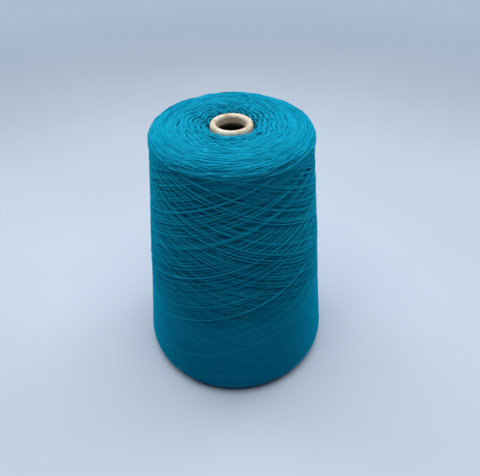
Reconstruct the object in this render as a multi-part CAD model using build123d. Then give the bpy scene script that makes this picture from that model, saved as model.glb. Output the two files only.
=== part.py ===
from build123d import *
import math
import os

# A cone of knitting yarn: a conical paper former with a rolled-in nose, and the
# cross-wound yarn package that is wound on it. Millimetres, +Z up. The origin is on
# the axis, at the foot of the former, which stands on its large end.

# ---- paper cone -------------------------------------------------------------------
CONE_HEIGHT = 230.0          # foot to the top of the nose
CONE_HALF_ANGLE = 5.95       # 5 degrees 57 minutes, the common taper of knitting cones
CONE_FOOT_RADIUS = 40.0      # outside of the paper at the foot
CONE_WALL = 2.5              # thickness of the wound paper, square to the wall
NOSE_BEAD_RADIUS = 2.4       # section radius of the rolled-in nose
THROAT_LAND = 4.0            # straight run inside the nose, below the bead
CURL_END_RADIUS = 1.0        # soft lower edge of the rolled-in paper

# ---- yarn package -----------------------------------------------------------------
FOOT_MARGIN = 4.0            # bare paper below the yarn
NOSE_MARGIN = 1.2            # nose standing above the top face of the yarn
PACKAGE_RADIUS = 84.9        # widest radius, just above the rounded base edge
PACKAGE_HALF_ANGLE = 6.64    # taper of the straight part of the side
BASE_EDGE_WIDTH = 5.6        # rounded base edge, measured along the radius
BASE_EDGE_HEIGHT = 13.0
SHOULDER_WIDTH = 14.0        # rounded top edge, measured along the radius
SHOULDER_HEIGHT = 7.6
BULGE_LENGTH = 30.0          # height below the shoulder over which the side turns upright
DISH_WIDTH = 6.0             # groove that the yarn leaves around the nose
DISH_DEPTH = 2.6


def slope(angle):
    """Change of radius for each millimetre of height."""
    return math.tan(math.radians(angle))


def cone_radius(z):
    """Outside radius of the paper at height z."""
    return CONE_FOOT_RADIUS - z * slope(CONE_HALF_ANGLE)


def cone_bore_radius(z):
    """Inside radius of the paper wall at height z."""
    return cone_radius(z) - CONE_WALL / math.cos(math.radians(CONE_HALF_ANGLE))


def on_circle(centre, radius, degrees):
    """Point of a circle, counted anticlockwise from the outward direction."""
    angle = math.radians(degrees)
    return (centre[0] + radius * math.cos(angle), centre[1] + radius * math.sin(angle))


def make_paper_cone():
    """Conical tube with a square-cut foot and a nose rolled inwards into a round bead."""
    bead_z = CONE_HEIGHT - NOSE_BEAD_RADIUS
    inset = NOSE_BEAD_RADIUS / math.cos(math.radians(CONE_HALF_ANGLE))
    bead = (cone_radius(bead_z) - inset, bead_z)
    touch = on_circle(bead, NOSE_BEAD_RADIUS, CONE_HALF_ANGLE)
    crown = on_circle(bead, NOSE_BEAD_RADIUS, 90)
    throat_r = bead[0] - NOSE_BEAD_RADIUS
    land_z = bead_z - THROAT_LAND
    curl = (throat_r + CURL_END_RADIUS, land_z)
    curl_z = land_z - CURL_END_RADIUS
    with BuildPart() as cone:
        with BuildSketch(Plane.XZ):
            with BuildLine():
                Line((CONE_FOOT_RADIUS, 0), touch)
                ThreePointArc(touch, crown, (throat_r, bead_z))
                Line((throat_r, bead_z), (throat_r, land_z))
                ThreePointArc((throat_r, land_z), on_circle(curl, CURL_END_RADIUS, 225),
                              (curl[0], curl_z))
                Line((curl[0], curl_z), (cone_bore_radius(curl_z), curl_z))
                Line((cone_bore_radius(curl_z), curl_z), (cone_bore_radius(0), 0))
                Line((cone_bore_radius(0), 0), (CONE_FOOT_RADIUS, 0))
            make_face()
        revolve(axis=Axis.Z)
    return cone.part


def make_yarn_package():
    """The wound yarn, as one closed solid whose bore lies on the paper."""
    top_z = CONE_HEIGHT - NOSE_MARGIN
    edge_z = FOOT_MARGIN + BASE_EDGE_HEIGHT
    shoulder_z = top_z - SHOULDER_HEIGHT
    bulge_z = shoulder_z - BULGE_LENGTH
    dish_z = top_z - DISH_DEPTH
    base_flat_r = PACKAGE_RADIUS - BASE_EDGE_WIDTH
    bulge_r = PACKAGE_RADIUS - (bulge_z - edge_z) * slope(PACKAGE_HALF_ANGLE)
    # An arc that leaves the taper smoothly and is upright where the shoulder begins.
    shoulder_r = bulge_r - BULGE_LENGTH * slope(PACKAGE_HALF_ANGLE / 2)
    top_flat_r = shoulder_r - SHOULDER_WIDTH
    dish_r = cone_radius(top_z) + DISH_WIDTH
    with BuildPart() as package:
        with BuildSketch(Plane.XZ):
            with BuildLine():
                Line((cone_radius(FOOT_MARGIN), FOOT_MARGIN), (base_flat_r, FOOT_MARGIN))
                EllipticalCenterArc((base_flat_r, edge_z), BASE_EDGE_WIDTH,
                                    BASE_EDGE_HEIGHT, start_angle=-90, arc_size=90)
                Line((PACKAGE_RADIUS, edge_z), (bulge_r, bulge_z))
                TangentArc((bulge_r, bulge_z), (shoulder_r, shoulder_z),
                           tangent=(-slope(PACKAGE_HALF_ANGLE), 1))
                EllipticalCenterArc((top_flat_r, shoulder_z), SHOULDER_WIDTH,
                                    SHOULDER_HEIGHT, start_angle=0, arc_size=90)
                Line((top_flat_r, top_z), (dish_r, top_z))
                Line((dish_r, top_z), (cone_radius(dish_z), dish_z))
                Line((cone_radius(dish_z), dish_z), (cone_radius(FOOT_MARGIN), FOOT_MARGIN))
            make_face()
        revolve(axis=Axis.Z)
    return package.part


os.makedirs("parts", exist_ok=True)
export_step(make_paper_cone(), "parts/paper_cone.step")
export_step(make_yarn_package(), "parts/yarn_package.step")
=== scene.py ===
import math

import bpy
import numpy as np
from mathutils import Matrix, Vector


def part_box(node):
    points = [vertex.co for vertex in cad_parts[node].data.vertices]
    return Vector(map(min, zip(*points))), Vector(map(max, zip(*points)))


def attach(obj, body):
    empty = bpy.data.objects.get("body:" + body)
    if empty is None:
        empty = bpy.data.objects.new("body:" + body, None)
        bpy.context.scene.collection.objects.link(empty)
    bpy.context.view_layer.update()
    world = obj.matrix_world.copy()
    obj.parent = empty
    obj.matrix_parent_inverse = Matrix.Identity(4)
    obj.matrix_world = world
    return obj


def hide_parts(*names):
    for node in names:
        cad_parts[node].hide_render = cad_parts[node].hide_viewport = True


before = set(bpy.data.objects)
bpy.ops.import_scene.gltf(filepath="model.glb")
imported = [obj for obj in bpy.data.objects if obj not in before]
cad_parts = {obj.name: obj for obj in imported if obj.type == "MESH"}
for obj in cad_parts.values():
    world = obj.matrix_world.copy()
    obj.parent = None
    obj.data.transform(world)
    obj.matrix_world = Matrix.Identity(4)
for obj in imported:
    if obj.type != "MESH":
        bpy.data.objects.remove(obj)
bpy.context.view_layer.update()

# The looks of a cone of knitting yarn that stands on its large end. The outer windings
# are one continuous yarn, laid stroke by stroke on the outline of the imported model. The
# end faces are covered with the turns that the earlier windings left there, and a core
# closes what lies under them. Lengths are in metres.
rng = np.random.default_rng(20)
MM = 0.001
TURN = 2 * math.pi

# ---- yarn ---------------------------------------------------------------------------
YARN = 0.5 * MM              # diameter
YARN_SIDES = 5
TWIST_PITCH = 3.0 * MM       # length of yarn in one turn of its plies
PRESSED = 0.72               # share of its radius that a yarn keeps where another lies on it

# ---- side windings --------------------------------------------------------------------
STROKES = 1200               # passes of the yarn guide that are modelled, each up or down
STROKES_PER_PIECE = 120
STROKE_TURNS = 4 / 3         # turns of the package in one stroke, close to a whole ratio
TURN_DRIFT = 0.0018          # what is added to them, so that strokes lie side by side
DRIFT_CHANGE = 0.4           # how much that varies, as a share of it
DRIFT_LIMITS = (0.5, 2)
DRIFT_REACH = 20             # strokes over which it varies
TURN_JITTER = 0.0005         # unevenness of the turns from stroke to stroke
EASE = 0.085                 # share of a stroke over which the guide slows to turn back
WOBBLE = 0.35 * MM           # slow wandering of the yarn off its even path
TOP_EDGE = 13.5 * MM         # how far the rounded top edge lies outside the highest ring
BASE_EDGE = 4.0 * MM         # how far the base edge lies inside the widest ring
TOP_ENDS = (11.0 * MM, -2.0 * MM)        # where the first and last strokes end, past the top edge
BASE_ENDS = (-2.0 * MM, 8.0 * MM)        # where they end, above the base edge
TOP_SCATTER = 2.2 * MM
BASE_SCATTER = 1.6 * MM

# A yarn feels what is under it at steps along it and at a few places across it.
STEP = 0.3 * MM
POINT_EVERY = 15             # steps from one point of the finished yarn to the next
LENGTH_PER_CLIMB = 2.85      # length of a stroke's yarn for each unit that it climbs
FELT_ACROSS = 5              # places across the yarn
FELT_SHARE = 0.8             # share of the radius that they reach
FIRST_ROUGHNESS = 0.3        # unevenness under the first stroke, in yarn diameters
FIRMNESS = 0.75              # 1 where a yarn bridges all it crosses, 0 where it sinks in fully
BRIDGE_REACH = 4             # steps on each side of a crossing that a yarn stays up
BRIDGE_SOFT = 8              # steps over which it comes down from there
SINK_REACH = 20              # steps over which a sunken yarn evens out what is under it
LEVEL_REACH = 20             # steps over which the package levels itself

# ---- relief, and tint that paints light and shade -------------------------------------
PROUD = 1.3 * MM             # most that a yarn stands above or below the usual one
SUNK = 0.3 * MM              # how far the usual yarn lies below the outline
RELIEF_HEIGHTS = (80 * MM, 155 * MM, 195 * MM, 214 * MM)
RELIEF = (0.15, 2.6, 2.2, 0.9)           # how strongly the windings' heights show, at those heights
PROUD_PAINTED_SHADING = 0.7             # painted light on the yarn that stands most proud and painted shade on sunken yarn, as a change of tint
TOP_PROUD_PAINTED_SHADING = 1.2         # the same painted light and shade for each mm that a turn of the top face stands proud
TOP_PAINTED_LIGHT = 0.7                  # painted light: change of tint that makes the top face paler
BASE_PAINTED_SHADE = -3.1                # painted shade: change of tint that darkens the yarn towards the base
BASE_PAINTED_SHADE_BELOW = 160 * MM      # height below which that painted shade sets in

# ---- top face ---------------------------------------------------------------------------
NOSE_RADIUS = 18.0 * MM      # radius of the innermost turns
RIM_RADIUS = 60.0 * MM
SLACK_REACH = 30 * MM        # how far from the nose the turns lie slack
PETALS = 14                  # waves that slack turns make round the nose
PETAL_DEPTH = 4.6 * MM       # how far they reach outwards
PETAL_HEIGHT = 0.5 * MM
PETAL_UNEVEN = 1.2           # how uneven they are, in radians of their wave
PETAL_SLANT = 4.5 * MM       # distance outwards over which they shift by a radian of their wave
SWAY = 0.8 * MM              # wider waves that they ride on
BAND = 3.8 * MM              # width of the bands that slack turns bunch into
BAND_HEIGHT = 1.1 * MM
BAND_GATHER = 0.8            # how closely a band's turns bunch, 0 to 1
ROW = 2.2 * MM               # width of the rows that firmer turns bunch into
ROW_HEIGHT = 0.45 * MM
ROW_GATHER = 0.6
STRAY = 0.16 * MM            # how far each turn strays from its neighbours
TOP_SUNK = 0.35 * MM         # how far the turns lie below the outline
SLACK_SUNK = 0.35 * MM       # how much further the slack ones do
FIRM_SCATTER = 0.35 * MM     # unevenness of that depth
SLACK_SCATTER = 0.45 * MM    # what is added to it for the slack ones
NOSE_REACH = 7 * MM          # width of the ring of turns that lean on the nose
NOSE_CLOSE = 1.3 * MM        # how far those close up to it at the front
NOSE_GAP = 0.7 * MM          # how far they stay off it at the back
NOSE_RISE = 1.3 * MM         # how much they rise at the front
NOSE_DIP = 0.6 * MM          # how much they dip at the back
RIDGE_SHIFT = 0.9 * MM       # the ridge that one slack turn makes across the others
RIDGE_HEIGHT = 1.1 * MM

# ---- tint of the yarn's material ------------------------------------------------------------
MIDDLE_SHADE = 0.55          # place on the yarn's colour ramp where the tint is 0
TINT_WEIGHT = 0.16
PATCH_WEIGHT = 0.2
PLY_WEIGHT = 0.07
FIBRE_WEIGHT = 0.6           # height of the fibres against that of the plies

# ---- camera -------------------------------------------------------------------------------
CAMERA_PITCH = 40.65         # degrees below the horizon
CAMERA_ROLL = -0.84          # degrees
CAMERA_DISTANCE = 431.4 * MM
CAMERA_TARGET = (5.1 * MM, 0, 116.1 * MM)
LENS = 36.0                  # focal length and sensor width, in mm
SENSOR = 36.0


def make_camera():
    data = bpy.data.cameras.new("camera")
    data.lens = LENS
    data.sensor_width = SENSOR
    data.clip_start = 0.01
    camera = bpy.data.objects.new("camera", data)
    bpy.context.scene.collection.objects.link(camera)
    pitch = math.radians(CAMERA_PITCH)
    back = Vector((0, -math.cos(pitch), math.sin(pitch)))
    place = Matrix.Translation(Vector(CAMERA_TARGET) + back * CAMERA_DISTANCE)
    tilt = Matrix.Rotation(math.radians(90 - CAMERA_PITCH), 4, "X")
    camera.matrix_world = place @ tilt @ Matrix.Rotation(math.radians(CAMERA_ROLL), 4, "Z")
    bpy.context.scene.camera = camera


# ---- the package's outline ----------------------------------------------------------------
def section_points(node):
    """The (radius, height) points of a round node's section, in order from its bore at the
    base, round the outside, to its bore at the top. The bore itself is left out."""
    bore_share = 0.45        # how far the bore reaches from mid height, as a share of the height
    apart = 0.1 * MM
    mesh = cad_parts[node].data
    co = np.empty(len(mesh.vertices) * 3, np.float32)
    mesh.vertices.foreach_get("co", co)
    co = co.reshape(-1, 3)
    points = np.unique(np.round(np.c_[np.hypot(co[:, 0], co[:, 1]), co[:, 2]], 5), axis=0)
    low, high = points.min(0), points.max(0)
    middle = (low + high) / 2
    in_bore = points[:, 0] < middle[0]
    in_bore &= np.abs(points[:, 1] - middle[1]) < bore_share * (high - low)[1]
    points = points[~in_bore]
    points = points[np.argsort(np.arctan2(points[:, 1] - middle[1], points[:, 0] - middle[0]))]
    return points[np.r_[True, np.linalg.norm(np.diff(points, axis=0), axis=1) > apart]]


class Outline:
    """The yarn package's outer outline, from its bore at the base, round the outside, to
    its bore at the top. A place on it is s, the distance along it."""

    def __init__(self, node):
        spacing = 0.25 * MM
        reach = 7            # samples over which its direction is smoothed, each way
        points = section_points(node)
        along = np.r_[0, np.cumsum(np.linalg.norm(np.diff(points, axis=0), axis=1))]
        self.s = np.arange(0, along[-1], spacing)
        self.r = np.interp(self.s, along, points[:, 0])
        self.z = np.interp(self.s, along, points[:, 1])
        soft = np.hanning(2 * reach + 1) / np.hanning(2 * reach + 1).sum()
        run = np.array([np.convolve(np.pad(np.gradient(v), reach, "edge"), soft, "valid")
                        for v in (self.r, self.z)])
        run /= np.linalg.norm(run, axis=0)
        self.nr, self.nz = run[1], -run[0]
        self.length = self.s[-1]
        self.widest = int(np.argmax(self.r))
        self.highest = int(np.argmax(self.z))

    def s_on_top(self, r):
        """Place on the shoulder or top face at radius r."""
        top = slice(self.widest, None)
        return np.interp(-np.asarray(r), -self.r[top], self.s[top])

    def s_on_base(self, r):
        """Place on the base face or its rounded edge at radius r."""
        base = slice(0, self.widest)
        return np.interp(r, self.r[base], self.s[base])

    def top_edge(self):
        """Place in the middle of the rounded top edge."""
        return self.s_on_top(self.r[self.highest] + TOP_EDGE)

    def base_edge(self):
        """Place on the rounded base edge where the side begins."""
        return self.s_on_base(self.r.max() - BASE_EDGE)

    def radius(self, s):
        return np.interp(s, self.s, self.r)

    def relief(self, s):
        """How strongly the windings' heights show at s: the upper ones are the looser ones."""
        return np.interp(np.interp(s, self.s, self.z), RELIEF_HEIGHTS, RELIEF)

    def painted_base_shade(self, s):
        """Painted shade at s: change of tint that darkens the yarn towards the base."""
        return BASE_PAINTED_SHADE * np.clip(1 - np.interp(s, self.s, self.z) / BASE_PAINTED_SHADE_BELOW, 0, 1)

    def at(self, s, theta, lift):
        """Points and outward directions at places s and angles theta, lift above the outline."""
        nr, nz = np.interp(s, self.s, self.nr), np.interp(s, self.s, self.nz)
        r = np.interp(s, self.s, self.r) + lift * nr
        z = np.interp(s, self.s, self.z) + lift * nz
        c, d = np.cos(theta), np.sin(theta)
        return np.stack([r * c, r * d, z], -1), np.stack([nr * c, nr * d, nz], -1)


# ---- meshes ---------------------------------------------------------------------------------
def new_piece(name, points, corners, starts, uvs, material):
    """A smooth-shaded mesh from flat corner lists, with one UV map for each entry of uvs."""
    mesh = bpy.data.meshes.new(name)
    mesh.vertices.add(len(points))
    mesh.vertices.foreach_set("co", np.asarray(points, np.float32).ravel())
    mesh.loops.add(len(corners))
    mesh.loops.foreach_set("vertex_index", np.asarray(corners, np.int32))
    mesh.polygons.add(len(starts))
    mesh.polygons.foreach_set("loop_start", np.asarray(starts, np.int32))
    mesh.polygons.foreach_set("use_smooth", np.ones(len(starts), bool))
    for map_name, values in uvs.items():
        layer = mesh.uv_layers.new(name=map_name)
        layer.data.foreach_set("uv", np.asarray(values, np.float32).ravel())
    mesh.update(calc_edges=True)
    mesh.materials.append(material)
    piece = bpy.data.objects.new(name, mesh)
    bpy.context.scene.collection.objects.link(piece)
    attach(piece, "root")
    return piece


def tube_points(path, out):
    """Rings of points round a path, each starting on the path's outward side."""
    angles = np.arange(YARN_SIDES) * TURN / YARN_SIDES
    cos, sin = np.cos(angles)[None, :, None], np.sin(angles)[None, :, None]
    along = np.gradient(path, axis=0)
    along /= np.linalg.norm(along, axis=1)[:, None]
    across = np.cross(along, out)
    across /= np.linalg.norm(across, axis=1)[:, None]
    up = np.cross(across, along)
    offset = cos * up[:, None] + sin * across[:, None]
    return (path[:, None] + YARN / 2 * offset).reshape(-1, 3)


def tube_faces(base, count):
    """Corners of a tube of count rings and its two caps, and how many corners each face has.
    Base is the tube's first vertex."""
    ring = np.arange(YARN_SIDES)
    after = (ring + 1) % YARN_SIDES
    here = base + np.arange(count - 1)[:, None] * YARN_SIDES
    ahead = here + YARN_SIDES
    quads = np.stack([here + ring, here + after, ahead + after, ahead + ring], -1)
    last = base + (count - 1) * YARN_SIDES
    corners = np.concatenate([quads.ravel(), base + ring[::-1], last + ring])
    sizes = np.concatenate([np.full(quads.size // 4, 4), np.full(2, YARN_SIDES)])
    return corners, sizes


def around_tube():
    """Share of the way round the yarn at the corners of each quad of a tube's ring."""
    ring = np.arange(YARN_SIDES)
    return np.stack([ring, ring + 1, ring + 1, ring], -1) / YARN_SIDES


def along_tube(start, end):
    """The values start and end of each segment at the corners of all its quads."""
    return np.stack([start, start, end, end], -1)[:, None].repeat(YARN_SIDES, 1)


def bake_map(done, count, row, rows):
    """Baking map of a tube: each segment is a small cell, and cells run along rows. Done is
    how many cells the tubes before it fill."""
    margin = 0.08            # free share of a cell's height on each side
    cell = done + np.arange(count - 1)
    left = (cell % row) / row
    low = (cell // row + margin) / rows
    u = along_tube(left, left + 1 / row)
    v = low[:, None, None] + (around_tube() * (1 - 2 * margin) / rows)[None]
    caps = np.repeat([[left[0], low[0]], [left[-1], low[-1]]], YARN_SIDES, 0)
    return np.concatenate([np.stack([u, v], -1).reshape(-1, 2), caps])


def twist_map(path):
    """Map of a tube that runs along and around the yarn, for its twist."""
    turns = np.r_[0, np.cumsum(np.linalg.norm(np.diff(path, axis=0), axis=1))] / TWIST_PITCH
    u = along_tube(turns[:-1], turns[1:])
    v = np.broadcast_to(around_tube(), u.shape)
    caps = np.zeros((2 * YARN_SIDES, 2))
    return np.concatenate([np.stack([u, v], -1).reshape(-1, 2), caps])


def yarn_piece(name, chains, row, material):
    """One mesh of closed tubes of yarn. A chain is (points, outward directions, tint), and
    row is how many segments lie side by side in one row of the baking map."""
    rows = math.ceil(sum(len(path) - 1 for path, _, _ in chains) / row)
    points, corners, sizes, tints, bake, twist = [], [], [], [], [], []
    base = done = 0
    for path, out, tint in chains:
        count = len(path)
        points.append(tube_points(path, out))
        tints.append(np.repeat(np.broadcast_to(tint, count), YARN_SIDES))
        tube_corners, tube_sizes = tube_faces(base, count)
        corners.append(tube_corners)
        sizes.append(tube_sizes)
        bake.append(bake_map(done, count, row, rows))
        twist.append(twist_map(path))
        base += count * YARN_SIDES
        done += count - 1
    starts = np.r_[0, np.cumsum(np.concatenate(sizes))[:-1]]
    uvs = {"OFBake": np.concatenate(bake), "Yarn": np.concatenate(twist)}
    piece = new_piece(name, np.concatenate(points), np.concatenate(corners), starts, uvs, material)
    shade = piece.data.attributes.new("tint", "FLOAT", "POINT")
    shade.data.foreach_set("value", np.concatenate(tints).astype(np.float32))


# ---- smoothing ------------------------------------------------------------------------------
def soft_kernel(reach):
    """Weights with soft ends, over reach samples each way."""
    kernel = np.hanning(2 * reach + 3)[1:-1]
    return kernel / kernel.sum()


def soften(values, reach):
    """A moving average with soft ends, over reach samples each way."""
    return np.convolve(np.pad(values, reach, "edge"), soft_kernel(reach), "valid")


def running_max(values, reach):
    padded = np.pad(values, reach, "edge")
    return np.max([padded[k : k + len(values)] for k in range(2 * reach + 1)], axis=0)


def wander(count, smooth):
    """A slow random walk about zero, of unit size."""
    walk = soften(rng.normal(size=count + 2 * smooth), smooth)[smooth : smooth + count]
    return walk / walk.std()


def level(heights):
    """The height map smoothed over LEVEL_REACH steps each way, without a seam round the package."""
    for axis, mode in ((0, "wrap"), (1, "edge")):
        pad = [(0, 0), (0, 0)]
        pad[axis] = (LEVEL_REACH, LEVEL_REACH)
        padded = np.pad(heights, pad, mode)
        smooth = np.zeros_like(heights)
        for k, weight in enumerate(soft_kernel(LEVEL_REACH)):
            smooth += weight * np.take(padded, range(k, k + heights.shape[axis]), axis)
        heights = smooth
    return heights


# ---- side windings ----------------------------------------------------------------------------
def guide(u):
    """Place of the yarn guide, 0 to 1, at share u of its stroke: even, but eased at both ends."""
    near = np.minimum(u, 1 - u)
    eased = np.where(near < EASE, near**2 / (2 * EASE), near - EASE / 2) / (1 - EASE)
    return np.where(u < 0.5, eased, 1 - eased)


def stroke_ends(outline):
    """Where the strokes end, low and high. Earlier ones turn back further round the edges."""
    top, base = outline.top_edge(), outline.base_edge()
    high = np.linspace(top + TOP_ENDS[0], top + TOP_ENDS[1], STROKES)
    low = np.linspace(base + BASE_ENDS[0], base + BASE_ENDS[1], STROKES)
    high += TOP_SCATTER * rng.normal(size=STROKES)
    low += BASE_SCATTER * rng.normal(size=STROKES)
    return low, high


def stroke_turns():
    """The angle at which each stroke starts, and how many turns it makes."""
    drift = TURN_DRIFT * np.clip(1 + DRIFT_CHANGE * wander(STROKES, DRIFT_REACH), *DRIFT_LIMITS)
    turns = STROKE_TURNS + drift + TURN_JITTER * rng.normal(size=STROKES)
    start = rng.uniform(0, TURN) + np.r_[0, np.cumsum(turns)[:-1]] * TURN
    return start, turns


def stroke_places(first, last, u):
    """Places along one stroke from first to last, at shares u of it."""
    waves = rng.uniform(1.5, 3.5)
    wobble = WOBBLE * np.sin(TURN * (waves * u + rng.uniform())) * np.sin(math.pi * u)
    return first + (last - first) * guide(u) + wobble


def cells_under(s, theta, r, across, shape):
    """Cells of the height map that a yarn along s and theta lies over, at distances across it."""
    wide, tall = shape
    arc, climb = r * np.gradient(theta), np.gradient(s)
    size = np.hypot(arc, climb)
    angles = theta[:, None] - (climb / size / r)[:, None] * across
    places = s[:, None] + (arc / size)[:, None] * across
    i = (angles / TURN % 1 * wide).astype(int) % wide
    j = np.clip(places / STEP, 0, tall - 1).astype(int)
    return i, j


def lay_yarn(heights, i, j, rise):
    """Lays one yarn on the height map and returns the heights that it rides at. Rise is the
    height of its round section over its axis, at the places across it."""
    under = (heights[i, j] + rise * PRESSED).max(1)
    bridged = soften(running_max(under, BRIDGE_REACH), BRIDGE_SOFT)
    sunken = soften(under, SINK_REACH)
    ride = sunken + FIRMNESS * (bridged - sunken)
    heights[i, j] = np.maximum(heights[i, j], ride[:, None] + rise * PRESSED)
    return ride


def wind_side(outline):
    """Lays the strokes one after another on a height map of the package, each yarn riding on
    what it crosses, pulled straight by its tension. Returns (s, theta, lift) for each."""
    shape = (int(TURN * outline.r.max() / STEP), int(outline.length / STEP) + 2)
    heights = rng.uniform(0, FIRST_ROUGHNESS * YARN, shape).astype(np.float32)
    low, high = stroke_ends(outline)
    start, turns = stroke_turns()
    points = int((high.mean() - low.mean()) * LENGTH_PER_CLIMB / STEP / POINT_EVERY)
    u = np.linspace(0, 1, points * POINT_EVERY + 1)
    radius = YARN / 2
    across = np.linspace(-FELT_SHARE, FELT_SHARE, FELT_ACROSS) * radius
    rise = np.sqrt(radius**2 - across**2)
    axis = FELT_ACROSS // 2
    laid = []
    for n in range(STROKES):
        # Even strokes go up, and odd ones go down from where the last one ended.
        up = n % 2 == 0
        first, last = (low[n], high[n]) if up else (high[n - 1], low[(n + 1) % STROKES])
        s = stroke_places(first, last, u)
        theta = start[n] + TURN * turns[n] * u
        i, j = cells_under(s, theta, outline.radius(s), across, shape)
        ride = lay_yarn(heights, i, j, rise)
        laid.append((s, theta, ride, i[:, axis], j[:, axis]))
    flat = level(heights)
    return [(s, theta, PROUD * np.tanh(outline.relief(s) * (ride - flat[i, j]) / PROUD) - SUNK)
            for s, theta, ride, i, j in laid]


def make_side(outline, material):
    """The side windings, as pieces that each hold one length of the same yarn."""
    laid = wind_side(outline)
    shade = wander(STROKES, 3) * 0.5 + rng.normal(size=STROKES) * 0.5
    row = (len(laid[0][0]) - 1) // POINT_EVERY
    for number, begin in enumerate(range(0, STROKES, STROKES_PER_PIECE), 1):
        s, theta, lift, tint = [], [], [], []
        for n in range(begin, min(begin + STROKES_PER_PIECE, STROKES)):
            # A stroke starts where the last one ended, so that point is taken only once.
            pick = slice(None if n == begin else POINT_EVERY, None, POINT_EVERY)
            for store, values in zip((s, theta, lift), laid[n]):
                store.append(values[pick])
            # The tint holds the stroke's random tone, painted shade towards the base, and painted light
            # and shade by how proud the yarn stands.
            tint.append(shade[n] + outline.painted_base_shade(s[-1]) + PROUD_PAINTED_SHADING * (lift[-1] + SUNK) / PROUD)
        path, out = outline.at(np.concatenate(s), np.concatenate(theta), np.concatenate(lift))
        yarn_piece(f"side_winding_{number}", [(path, out, np.concatenate(tint))], row, material)


# ---- end faces ----------------------------------------------------------------------------------
def slackness(r, theta):
    """How slack the top face's turns lie, 0 to 1: most round the back of the nose."""
    past_back = math.radians(8)
    at_front = 0.12
    near = np.clip(1 - (r - NOSE_RADIUS) / SLACK_REACH, 0, 1)
    back = 0.5 + 0.5 * np.sin(theta - past_back)
    return near**0.6 * (at_front + (1 - at_front) * back**0.8)


def kink(r, theta):
    """A ridge, 0 to 1, where one slack turn crosses the top from the back of the rim inwards."""
    at_rim = math.radians(84)
    sweep = math.radians(30) / (36 * MM)
    width = 1.8 * MM
    middle = at_rim - (RIM_RADIUS - r) * sweep
    aside = (theta - middle + math.pi) % TURN - math.pi
    return np.exp(-((aside * r / width) ** 2))


def slack_shape(r0, theta):
    """How a slack turn lies: in petals round the nose, and in bands with dark gaps between
    them. Returns how far it shifts inwards, and how high it rises."""
    phase = PETALS * theta + PETAL_UNEVEN * np.sin(3 * theta + 1.0) + r0 / PETAL_SLANT
    petals = np.abs(np.sin(0.5 * phase)) - 0.6
    band = TURN * (r0 / BAND + 0.5 * np.sin(2 * theta + 1.0) + 0.35 * np.sin(5 * theta + 2.0))
    outwards = PETAL_DEPTH * petals + SWAY * np.sin(4 * theta + 2.0)
    bunch = BAND_GATHER * BAND / TURN * np.sin(band)
    return bunch - outwards, BAND_HEIGHT * np.cos(band) + PETAL_HEIGHT * petals


def firm_shape(r0, theta):
    """How a firmer turn lies: a few at a time closer together than to the next few. Returns
    how far it shifts inwards, and how high it rises."""
    row = TURN * (r0 / ROW + 0.7 * np.sin(theta + 1.3) + 0.5 * np.sin(r0 / (6 * MM) + 3 * theta))
    return ROW_GATHER * ROW / TURN * np.sin(row), ROW_HEIGHT * np.cos(row)


def top_turn(outline, r0, theta, bend):
    """One turn on the top face, whose ends dip under its neighbours by bend."""
    slack = slackness(r0, theta)
    slack_shift, slack_rise = slack_shape(r0, theta)
    firm_shift, firm_rise = firm_shape(r0, theta)
    near_nose = np.clip(1 - (r0 - NOSE_RADIUS) / NOSE_REACH, 0, 1)
    front = 0.5 - 0.5 * np.sin(theta)
    ridge = kink(r0, theta)
    stray = STRAY * (1 - 0.5 * slack) * np.sin(rng.uniform(5, 12) * theta + rng.uniform(0, TURN))
    s = outline.s_on_top(r0) + slack * slack_shift + (1 - slack) * firm_shift - stray
    s = s + near_nose * (NOSE_CLOSE * front - NOSE_GAP * (1 - front)) - RIDGE_SHIFT * ridge
    scatter = FIRM_SCATTER + SLACK_SCATTER * slackness(r0, theta.mean())
    lift = slack * (slack_rise - SLACK_SUNK) + (1 - slack) * firm_rise - TOP_SUNK
    lift = lift - scatter * abs(rng.normal()) - bend
    # Painted light on the top face, and painted light and shade by how proud the turn stands, go into its
    # tint.
    proud = np.clip(lift / MM + 0.6, -1.5, 1)
    tint = TOP_PAINTED_LIGHT + 0.6 * rng.normal() + TOP_PROUD_PAINTED_SHADING * proud
    lift = lift + near_nose * (NOSE_RISE * front - NOSE_DIP * (1 - front)) + RIDGE_HEIGHT * ridge
    path, out = outline.at(s, theta, lift)
    return path, out, tint


def crossing_turn(outline, number):
    """A turn that lies across the others, from the back of the rim towards the nose."""
    x = np.linspace(0, 1, 25)
    theta = np.radians(112 - 72 * x + 2.0 * rng.normal() - 1.2 * number)
    across = 0.5 - 0.5 * np.tanh((x - 0.5) / 0.22)
    r = (37 + 23 * across + 0.5 * number + rng.normal()) * MM
    dive = 2.4 * MM * (2 * x - 1) ** 6
    path, out = outline.at(outline.s_on_top(r), theta, rng.uniform(0.2, 1.1) * MM - dive)
    # Painted light on the top face, as on the other turns there.
    return path, out, TOP_PAINTED_LIGHT + 0.9 * rng.normal()


def make_top(outline, material, count=4200, crossing=9, pieces=6):
    """The turns that the earlier windings left on the top face, nearly in rings round the nose."""
    steps = 27
    tubes_in_row = 6
    x = np.linspace(-1, 1, steps)
    bend = 0.3 * MM * x**2 + 1.6 * MM * x**4
    outermost = RIM_RADIUS + 0.5 * MM
    chains = []
    for r0 in np.sort(np.sqrt(rng.uniform(NOSE_RADIUS**2, outermost**2, count))):
        half = rng.uniform(0.28, 0.55)
        theta = rng.uniform(0, TURN) + half * x
        chains.append(top_turn(outline, r0, theta, bend))
    chains += [crossing_turn(outline, number) for number in range(crossing)]
    order = rng.permutation(len(chains))
    for k in range(pieces):
        part = [chains[i] for i in sorted(order[k::pieces])]
        yarn_piece(f"top_turns_{k + 1}", part, (steps - 1) * tubes_in_row, material)


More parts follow.
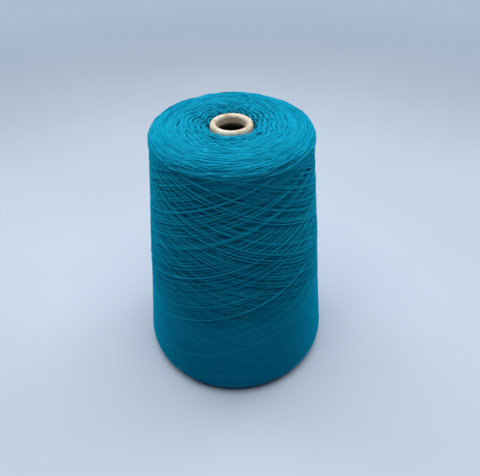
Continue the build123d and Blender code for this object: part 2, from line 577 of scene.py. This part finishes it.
def make_shoulder(outline, material, count=700):
    """Turns that run nearly level round the rounded top edge, over the ends of the strokes."""
    steps = 17
    tubes_in_row = 6
    below, above = -13 * MM, 15 * MM
    slant = 1.6 * MM
    wave = 0.2 * MM
    scatter = 0.45 * MM
    x = np.linspace(-1, 1, steps)
    chains = []
    for s0 in np.sort(outline.top_edge() + rng.uniform(below, above, count)):
        half = rng.uniform(0.3, 0.6)
        theta = rng.uniform(0, TURN) + half * x
        s = s0 + rng.normal() * slant * x + wave * np.sin(rng.uniform(2, 6) * theta)
        dive = 2.0 * MM * (half / 0.45) ** 2 * x**4
        lift = 0.15 * MM - abs(rng.normal()) * scatter - dive
        path, out = outline.at(s - RIDGE_SHIFT * kink(RIM_RADIUS, theta), theta, lift)
        chains.append((path, out, rng.normal() * 0.9 - 0.9))
    yarn_piece("shoulder_turns", chains, (steps - 1) * tubes_in_row, material)


def make_base(outline, material, count=900):
    """The turns on the base face, which the package hides when it stands."""
    steps = 17
    tubes_in_row = 8
    innermost, outermost = 41 * MM, 82.5 * MM
    x = np.linspace(-1, 1, steps)
    dive = 2.0 * MM * x**2
    chains = []
    for r0 in np.sqrt(rng.uniform(innermost**2, outermost**2, count)):
        theta = rng.uniform(0, TURN) + rng.uniform(0.34, 0.5) * x
        s = outline.s_on_base(r0) + 0.3 * MM * np.sin(7 * theta + r0 / MM)
        lift = -0.5 * MM - abs(rng.normal()) * 0.25 * MM - dive
        path, out = outline.at(s, theta, lift)
        # Painted shade on the base turns, as at the foot of the side.
        chains.append((path, out, BASE_PAINTED_SHADE + rng.normal() * 0.7))
    yarn_piece("base_turns", chains, (steps - 1) * tubes_in_row, material)


def make_core(outline, material):
    """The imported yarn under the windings, closed on the paper cone."""
    around = 360
    spacing = 1.5 * MM
    lump_height = 0.25 * MM
    s = np.arange(0, outline.length, spacing)
    theta = np.arange(around) * TURN / around
    grid_s, grid_t = np.meshgrid(s, theta, indexing="ij")
    lumps = np.sin(grid_s / (1.3 * MM) + 9 * grid_t) * np.sin(grid_s / (1.7 * MM) - 11 * grid_t)
    depth = (0.8 + 0.5 * outline.relief(grid_s)) * MM
    points, _ = outline.at(grid_s, grid_t, lump_height * lumps - depth)
    count = len(s)
    i, j = np.meshgrid(np.arange(count), np.arange(around), indexing="ij")
    ahead, beside = (i + 1) % count, (j + 1) % around
    corners = [i * around + j, i * around + beside, ahead * around + beside, ahead * around + j]
    u = np.stack([j, j + 1, j + 1, j], -1) / around
    v = np.stack([i, i, i + 1, i + 1], -1) / count
    uv = np.stack([u, v], -1).reshape(-1, 2)
    starts = np.arange(count * around) * 4
    return new_piece("yarn_core", points.reshape(-1, 3), np.stack(corners, -1).reshape(-1), starts,
                     {"OFBake": uv}, material)


# ---- materials ------------------------------------------------------------------------------------
def node(tree, kind, inputs=None, **settings):
    """A new node, whose inputs are set to values or linked to sockets."""
    made = tree.nodes.new(kind)
    for name, value in settings.items():
        setattr(made, name, value)
    for name, value in (inputs or {}).items():
        if isinstance(value, bpy.types.NodeSocket):
            tree.links.new(value, made.inputs[name])
        else:
            made.inputs[name].default_value = value
    return made


def maths(tree, operation, *values):
    """Output of a maths node on sockets and numbers."""
    return node(tree, "ShaderNodeMath", dict(enumerate(values)), operation=operation).outputs[0]


def noise(tree, place, scale, detail):
    inputs = {"Vector": place, "Scale": scale, "Detail": detail}
    return node(tree, "ShaderNodeTexNoise", inputs).outputs["Fac"]


def object_place(tree):
    return node(tree, "ShaderNodeTexCoord").outputs["Object"]


def ramp(tree, factor, stops):
    """A colour ramp through (place, colour) stops."""
    made = node(tree, "ShaderNodeValToRGB", {"Fac": factor})
    band = made.color_ramp.elements
    while len(band) < len(stops):
        band.new(0.5)
    for element, (place, colour) in zip(band, stops):
        element.position = place
        element.color = (*colour, 1)
    return made.outputs["Color"]


def mix_to(tree, factor, colour, other):
    """The socket colour where factor is 0, and the constant other where it is 1."""
    made = node(tree, "ShaderNodeMix", {"Factor": factor}, data_type="RGBA")
    inputs = {socket.identifier: socket for socket in made.inputs}
    outputs = {socket.identifier: socket for socket in made.outputs}
    tree.links.new(colour, inputs["A_Color"])
    inputs["B_Color"].default_value = (*other, 1)
    return outputs["Result_Color"]


def bump(tree, height, strength, distance):
    inputs = {"Height": height, "Strength": strength, "Distance": distance}
    return node(tree, "ShaderNodeBump", inputs).outputs["Normal"]


def principled(name, **constants):
    """A material with one Principled shader, whose constants are set on its own sockets."""
    material = bpy.data.materials.new(name)
    material.use_nodes = True
    tree = material.node_tree
    shader = tree.nodes["Principled BSDF"]
    for socket, value in constants.items():
        shader.inputs[socket.replace("_", " ")].default_value = value
    return material, tree, shader


def yarn_material():
    """Teal yarn of two plies with a soft sheen, tinted by its mesh's own values, which hold random tone
    and painted light and shade.
    """
    material, tree, shader = principled(
        "teal_yarn", Roughness=0.45, Metallic=0.15, Specular_IOR_Level=0.0,
        Specular_Tint=(0.0, 0.6, 0.9, 1.0), Sheen_Weight=1.0, Sheen_Roughness=0.5,
        Sheen_Tint=(0.0, 0.7, 1.0, 1.0))
    tint = node(tree, "ShaderNodeAttribute", attribute_name="tint").outputs["Fac"]
    place = object_place(tree)
    patch = noise(tree, place, scale=35.0, detail=2.0)
    fibre = noise(tree, place, scale=2600.0, detail=2.0)
    twist = node(tree, "ShaderNodeUVMap", uv_map="Yarn").outputs["UV"]
    split = node(tree, "ShaderNodeSeparateXYZ", {"Vector": twist}).outputs
    winding = maths(tree, "ADD", split["X"], split["Y"])
    ply = maths(tree, "SINE", maths(tree, "MULTIPLY", winding, 2 * TURN))
    shade = maths(tree, "MULTIPLY_ADD", tint, TINT_WEIGHT, MIDDLE_SHADE)
    shade = maths(tree, "MULTIPLY_ADD", patch, PATCH_WEIGHT, shade)
    shade = maths(tree, "MULTIPLY_ADD", ply, PLY_WEIGHT, shade)
    stops = [(0.3, (0.003, 0.18, 0.34)), (0.65, (0.008, 0.325, 0.52)), (1.0, (0.013, 0.475, 0.695))]
    tree.links.new(ramp(tree, shade, stops), shader.inputs["Base Color"])
    height = maths(tree, "MULTIPLY_ADD", fibre, FIBRE_WEIGHT, ply)
    tree.links.new(bump(tree, height, strength=0.5, distance=0.06 * MM), shader.inputs["Normal"])
    return material


def core_material():
    """The same teal, painted dark as the shade that shows between the windings."""
    material, tree, shader = principled("packed_yarn_painted_shade", Roughness=0.9, Specular_IOR_Level=0.1)
    patch = noise(tree, object_place(tree), scale=700.0, detail=3.0)
    # Painted shade: these colours are far darker than the yarn's own.
    stops = [(0.3, (0.001, 0.05, 0.09)), (0.7, (0.002, 0.12, 0.2))]
    tree.links.new(ramp(tree, patch, stops), shader.inputs["Base Color"])
    return material


def paper_material():
    """Pale speckled board, painted near black between the rolled nose and the foot: the inner board's
    darker tone and painted shade in the bore.
    """
    material, tree, shader = principled("cone_paper", Roughness=0.8, Specular_IOR_Level=0.3)
    place = object_place(tree)
    cloud = noise(tree, place, scale=120.0, detail=4.0)
    speck = noise(tree, place, scale=900.0, detail=3.0)
    mixed = maths(tree, "MULTIPLY_ADD", speck, 0.5, cloud)
    stops = [(0.5, (0.44, 0.34, 0.22)), (0.7, (0.64, 0.57, 0.43)), (0.95, (0.84, 0.8, 0.68))]
    pale = ramp(tree, mixed, stops)
    height = node(tree, "ShaderNodeSeparateXYZ", {"Vector": place}).outputs["Z"]
    cone_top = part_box("paper_cone")[1][2]
    share = node(tree, "ShaderNodeMapRange", {"Value": height, "From Min": 0.0, "From Max": cone_top})
    # Painted shade: between the foot and the nose the board is made near black, as the bore's shade.
    black, white = (0, 0, 0), (1, 1, 1)
    stops = [(0.015, black), (0.04, white), (0.95, white), (0.972, black)]
    bore_shade_mask = ramp(tree, share.outputs["Result"], stops)
    dark = (0.022, 0.016, 0.01)
    colour = mix_to(tree, bore_shade_mask, pale, dark)
    tree.links.new(colour, shader.inputs["Base Color"])
    tree.links.new(bump(tree, mixed, strength=0.5, distance=0.12 * MM), shader.inputs["Normal"])
    return material


def floor_material():
    """A pale floor that fades into the backdrop away from the object."""
    material, tree, shader = principled("floor", Roughness=0.6, Specular_IOR_Level=0.2)
    place = object_place(tree)
    cloud = noise(tree, place, scale=3.0, detail=2.0)
    stops = [(0.3, (0.56, 0.66, 0.785)), (0.7, (0.60, 0.70, 0.825))]
    tree.links.new(ramp(tree, cloud, stops), shader.inputs["Base Color"])
    away = node(tree, "ShaderNodeVectorMath", {0: place}, operation="LENGTH").outputs["Value"]
    fade = node(tree, "ShaderNodeMapRange", {
        "Value": away, "From Min": 0.45, "From Max": 1.3, "To Min": 1.0, "To Max": 0.0},
        interpolation_type="SMOOTHSTEP")
    tree.links.new(fade.outputs["Result"], shader.inputs["Alpha"])
    return material


# ---- stage ------------------------------------------------------------------------------------------
def make_floor():
    half = 4.0
    corners = [(-half, -half, 0), (half, -half, 0), (half, half, 0), (-half, half, 0)]
    mesh = bpy.data.meshes.new("floor")
    mesh.from_pydata(corners, [], [(0, 1, 2, 3)])
    floor = bpy.data.objects.new("floor", mesh)
    mesh.materials.append(floor_material())
    bpy.context.scene.collection.objects.link(floor)


def area_light(name, place, size, power, aim_height, spread):
    """A square soft light that faces a point on the axis. Spread is the angle that it covers,
    in degrees."""
    data = bpy.data.lights.new(name, "AREA")
    data.shape = "SQUARE"
    data.size = size
    data.energy = power
    data.spread = math.radians(spread)
    lamp = bpy.data.objects.new(name, data)
    lamp.location = place
    lamp.visible_camera = False
    lamp.rotation_mode = "QUATERNION"
    aim = Vector((0, 0, aim_height)) - Vector(place)
    lamp.rotation_quaternion = aim.to_track_quat("-Z", "Y")
    bpy.context.scene.collection.objects.link(lamp)


def make_lights():
    area_light("overhead", (0, 0.1, 1.5), size=1.6, power=27.5, aim_height=0.12, spread=180)
    for name, x in (("left", -1.0), ("right", 1.0)):
        # Both pairs aim above the object, so that their light fades towards its foot.
        area_light(f"back_{name}", (x, 0.6, 0.6), size=0.7, power=1.0, aim_height=0.45, spread=70)
        area_light(f"front_{name}", (0.8 * x, -0.9, 0.9), size=0.5, power=0.12, aim_height=0.6, spread=50)


def make_backdrop():
    """A pale sky that the camera sees, and that lights the object only faintly."""
    seen, always = 0.66, 0.015
    world = bpy.data.worlds.new("world")
    world.use_nodes = True
    tree = world.node_tree
    sky = tree.nodes["Background"]
    sky.inputs["Color"].default_value = (0.6, 0.76, 0.97, 1)
    from_camera = node(tree, "ShaderNodeLightPath").outputs["Is Camera Ray"]
    strength = maths(tree, "MULTIPLY_ADD", from_camera, seen, always)
    tree.links.new(strength, sky.inputs["Strength"])
    bpy.context.scene.world = world


make_camera()
package = Outline("yarn_package")
yarn = yarn_material()
make_side(package, yarn)
make_top(package, yarn)
make_shoulder(package, yarn)
make_base(package, yarn)
# The core's material is painted dark, as the shade between the windings.
core = make_core(package, core_material())
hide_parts("yarn_package")
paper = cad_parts["paper_cone"]
paper.data.materials.clear()
paper.data.materials.append(paper_material())
make_floor()
make_lights()
make_backdrop()
bpy.context.scene.view_settings.view_transform = "Standard"
